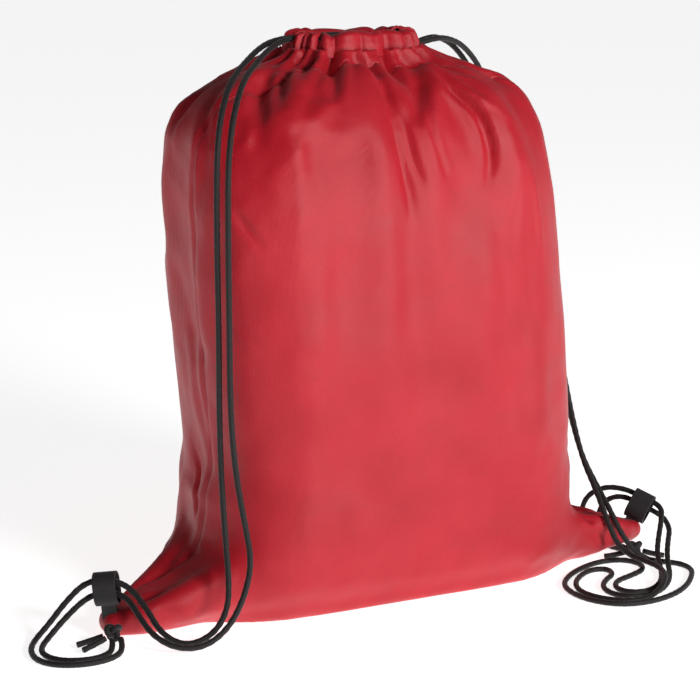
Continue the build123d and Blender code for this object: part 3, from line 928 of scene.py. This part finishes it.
def hem_section(share):
    """Distance in and height, in millimetres, across the hem: outer base, over the rim, to inner base."""
    along = np.array((0.0, 0.12, 0.3, 0.44, 0.5, 0.56, 0.7, 0.88, 1.0))
    inward = np.array((-0.4, 0.0, 0.3, 2.2, 5.6, 9.4, 12.4, 14.0, 15.0))
    height = np.array((5.5, 7.0, 12.0, 16.6, 18.2, 17.0, 11.5, 7.0, 3.0))
    return np.interp(share, along, inward), np.interp(share, along, height)


def hem_point(angle, share):
    """A point of the gathered hem, in metres: its section swept round the mouth, with the neck's pleats."""
    inward, height = hem_section(share)
    outer = share < 0.5
    out = pleats(angle, *FINE_PLEATS) * FINE_STAND
    out += pleats(angle + COARSE_TURN, *COARSE_PLEATS) * COARSE_STAND
    out *= np.where(outer, 1.0, 0.6)
    ruffle = pleats(angle + 0.05, *RIM_PLEATS)
    lift = np.clip((height - 4) / 15, 0, 1)  # 0 at the base, 1 at the rim
    dip = np.exp(-((angle + 1.95) / 0.16) ** 2) * 1.8
    radius = HEM_RADIUS - inward + out + lift * np.where(outer, 0.8, -0.6) * ruffle
    z = NECK_Z + height + lift * (1.0 * ruffle - dip + 0.8 * np.sin(3 * angle + 0.6))
    direction_x, direction_y = np.cos(angle) / OVAL, np.sin(angle)
    size = np.hypot(direction_x, direction_y)
    direction_x, direction_y = direction_x / size, direction_y / size
    x = RING_CENTRES * np.tanh(direction_x * 3) + radius * direction_x
    y = MOUTH_Y / MM + radius * direction_y
    return np.stack([x, y, z], axis=-1) * MM + SHIFT


def casing_angles(start, count):
    """Angles from slit to slit, round the half of the mouth that starts here."""
    return np.linspace(start + SLIT_ANGLE, start + np.pi - SLIT_ANGLE, count)


def add_hems(material):
    """The front and the back casing of the hem, between the slits at the bag's sides."""
    hems = []
    shares = np.linspace(0, 1, 41)
    for name, start, cad in (("front_hem", -np.pi, "front_casing"), ("back_hem", 0.0, "back_casing")):
        angles = casing_angles(start, 241)
        grid_angle, grid_share = np.meshgrid(angles, shares, indexing="ij")
        vertices = hem_point(grid_angle, grid_share).reshape(-1, 3)
        rows = len(shares)
        faces = [
            (i * rows + j, i * rows + j + 1, (i + 1) * rows + j + 1, (i + 1) * rows + j)
            for i in range(len(angles) - 1) for j in range(rows - 1)
        ]
        hem = make_object(name, vertices, faces, material)
        thicken(hem, -HEM_CLOTH)
        declare(hem, cad)
        hems.append(hem)
    return hems


def add_slit_edges(material):
    """The narrow rolled hems at both ends of each casing."""
    shares = np.linspace(0.1, 1, 40)
    ends = {
        "left_slit_edges": (-np.pi + SLIT_ANGLE, np.pi - SLIT_ANGLE, "slit_hem_left"),
        "right_slit_edges": (-SLIT_ANGLE, SLIT_ANGLE, "slit_hem_right"),
    }
    for name, (first, second, cad) in ends.items():
        paths = [hem_point(np.full_like(shares, angle), shares) for angle in (first, second)]
        edges = add_tubes(name, paths, round_section(0.8 * MM), 10, material)
        declare(edges, cad)


def add_stitching(material):
    """The row of stitches that closes each casing, just above the neck."""
    for name, start, cad in (
        ("front_hem_stitches", -np.pi, "casing_stitching_front"),
        ("back_hem_stitches", 0.0, "casing_stitching_back"),
    ):
        paths = []
        angles = casing_angles(start, 49)
        for first, second in zip(angles, angles[1:]):
            stitch = np.linspace(first, first + 0.66 * (second - first), 6)
            path = hem_point(stitch, np.full_like(stitch, 0.07))
            middle = path.mean(axis=0)
            paths.append(path + 0.1 * (path - middle))
        row = add_tubes(name, paths, round_section(0.26 * MM), 6, material)
        declare(row, cad)


def add_bag(material):
    """The hem, and the two panels of the bag with the seam allowances inside."""
    hems = add_hems(material)
    bag = rough_bag()
    fit(bag)
    settle_cloth(bag)
    subdivide(bag)
    shape_folds(bag)
    panels = cut_panels(bag, material)
    bpy.data.objects.remove(bag)
    add_seam_allowances(panels["front_cloth"], material)
    for name, cad, hem in zip(("front_cloth", "back_cloth"), ("front_panel", "back_panel"), hems):
        panel = panels[name]
        thicken(panel, CLOTH)
        finish_mesh(panel, material)
        declare(panel, cad)


# ---------------------------------------------------------------- scene

def add_camera():
    data = bpy.data.cameras.new("camera")
    data.lens = 105.2
    data.sensor_width = 36.0
    camera = bpy.data.objects.new("camera", data)
    camera.location = Vector((-0.4934, -0.9932, 0.381)) + Vector(SHIFT)
    camera.rotation_euler = (math.radians(90 - 12.66), 0.0, math.radians(-26))
    bpy.context.scene.collection.objects.link(camera)
    bpy.context.scene.camera = camera


def add_area_light(name, place, target, size, power):
    data = bpy.data.lights.new(name, "AREA")
    data.shape = "DISK"
    data.size = size
    data.energy = power
    light = bpy.data.objects.new(name, data)
    light.location = place
    light.rotation_euler = (Vector(target) - Vector(place)).to_track_quat("-Z", "Y").to_euler()
    bpy.context.scene.collection.objects.link(light)


def shade_surround(tree):
    """White behind the bag, and dimmer in front and to the left, so that the cloth's folds show."""
    background = tree.nodes["Background"]
    direction = tree.nodes.new("ShaderNodeTexCoord")
    parts = tree.nodes.new("ShaderNodeSeparateXYZ")
    tree.links.new(direction.outputs["Generated"], parts.inputs["Vector"])
    lean = combine(tree, "ADD", parts.outputs["Y"], combine(tree, "MULTIPLY", parts.outputs["X"], 0.8))
    strength = node(tree, "ShaderNodeMapRange", From_Min=-0.7, From_Max=0.7, To_Min=0.75, To_Max=1.5)
    tree.links.new(lean, strength.inputs["Value"])
    tree.links.new(strength.outputs["Result"], background.inputs["Strength"])


def add_studio():
    """A pale floor, a white surround and soft light from the front, mostly from the right."""
    half = 12.0
    floor = make_object("floor", [(-half, -half, 0), (half, -half, 0), (half, half, 0), (-half, half, 0)],
                        [(0, 1, 2, 3)], floor_material())
    world = bpy.data.worlds.new("surround")
    world.use_nodes = True
    shade_surround(world.node_tree)
    bpy.context.scene.world = world
    add_area_light("key", (0.5, -1.6, 0.75), (0.0, 0.0, 0.17), 0.6, 24.0)
    bpy.context.scene.view_settings.view_transform = "Standard"


def dress_cad_nodes(cord, webbing, thread):
    """The small CAD pieces that are seen as they are get their materials."""
    for side in ("left", "right"):
        set_material(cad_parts[f"corner_loop_{side}"], webbing)
        set_material(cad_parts[f"loop_tack_{side}"], thread)
        set_material(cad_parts[f"cord_{side}_casing_run"], cord)


def main():
    add_camera()
    add_studio()
    polyester = polyester_material()
    cord = cord_material("black_cord", (0.011, 0.009, 0.009))
    webbing = webbing_material()
    red_thread = thread_material("red_thread", (0.3, 0.008, 0.015), (0.6, 0.03, 0.045))
    black_thread = thread_material("black_thread", (0.004, 0.004, 0.004), (0.02, 0.018, 0.018))
    add_cords(cord)
    add_bag(polyester)
    add_slit_edges(polyester)
    add_stitching(red_thread)
    dress_cad_nodes(cord, webbing, black_thread)


main()
